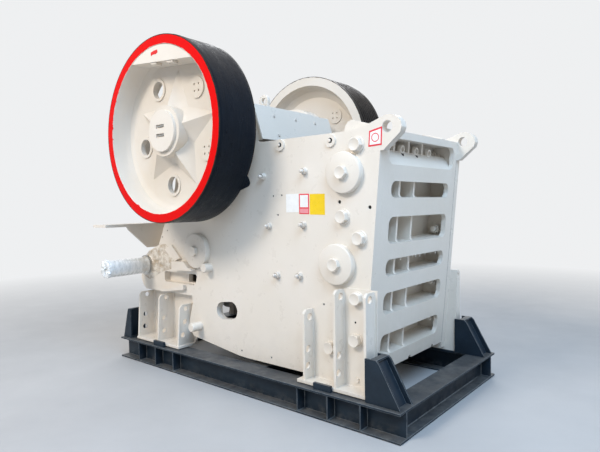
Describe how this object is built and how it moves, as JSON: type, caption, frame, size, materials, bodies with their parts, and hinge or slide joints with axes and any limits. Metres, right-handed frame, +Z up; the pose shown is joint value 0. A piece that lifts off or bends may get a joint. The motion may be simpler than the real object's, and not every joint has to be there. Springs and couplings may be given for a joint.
{
  "type": "jaw crusher",
  "caption": "Single toggle jaw crusher with bolted plate frame, ribbed front wall, two flywheels with counterweights and jaw dies, standing on feet on a steel transport skid",
  "frame": {"origin": "On the floor under the middle of the skid", "axes": "X runs from the toggle end to the ribbed front wall, Y across the machine toward the grooved flywheel, Z up"},
  "size_m": [3.2, 2.28, 2.896],
  "materials": {
    "cream_paint": "gloss",
    "skid_paint": "satin",
    "rubber": "matte",
    "bare_steel": "satin",
    "cast_steel": "rough"
  },
  "bodies": {
    "frame": {"skid_beam_near": "skid_paint", "skid_beam_far": "skid_paint", "skid_end_front": "skid_paint", "skid_end_rear": "skid_paint", "skid_cross_beam": "skid_paint", "skid_stops_front": "skid_paint", "skid_stops_rear": "skid_paint", "skid_blocks": "rubber", "side_plate_near": "cream_paint", "side_plate_far": "cream_paint", "front_frame": "cream_paint", "rear_frame": "cream_paint", "motor_bracket": "cream_paint", "foot_front_near": "cream_paint", "foot_front_far": "cream_paint", "foot_rear_near": "cream_paint", "foot_rear_far": "cream_paint", "cover_discs": "cream_paint", "frame_bolts_near": "cream_paint", "frame_bolts_far": "cream_paint", "liner_studs": "bare_steel", "bearing_housing_near": "cream_paint", "bearing_housing_far": "cream_paint", "fixed_jaw_die": "cast_steel", "cheek_plates_near": "cast_steel", "cheek_plates_far": "cast_steel", "toggle_plate": "cast_steel", "spring_case": "bare_steel", "adjust_cylinder_near": "bare_steel", "adjust_cylinder_far": "bare_steel"},
    "rotor": {"eccentric_shaft": "bare_steel", "flywheel_near": "cream_paint", "flywheel_far": "cream_paint", "counterweight_near": "cream_paint", "counterweight_far": "cream_paint", "hub_cap_near": "cream_paint", "hub_cap_far": "cream_paint"},
    "jaw": {"pitman": "cream_paint", "pitman_guard": "cream_paint", "pitman_eye": "cream_paint", "moving_jaw_die": "cast_steel", "tension_rod": "bare_steel"}
  },
  "joints": [
    {"name": "shaft_spin", "type": "hinge", "parent": "frame", "child": "rotor", "pos_m": [-0.428, 0, 2.14], "axis": [0, 1, 0], "continuous": true},
    {"name": "jaw_swing", "type": "hinge", "parent": "rotor", "child": "jaw", "pos_m": [-0.42983, 0, 2.1226], "axis": [0, 1, 0], "continuous": true}
  ],
  "couplings": [
    {"joint": "jaw_swing", "follows": "shaft_spin", "ratio": -1}
  ]
}
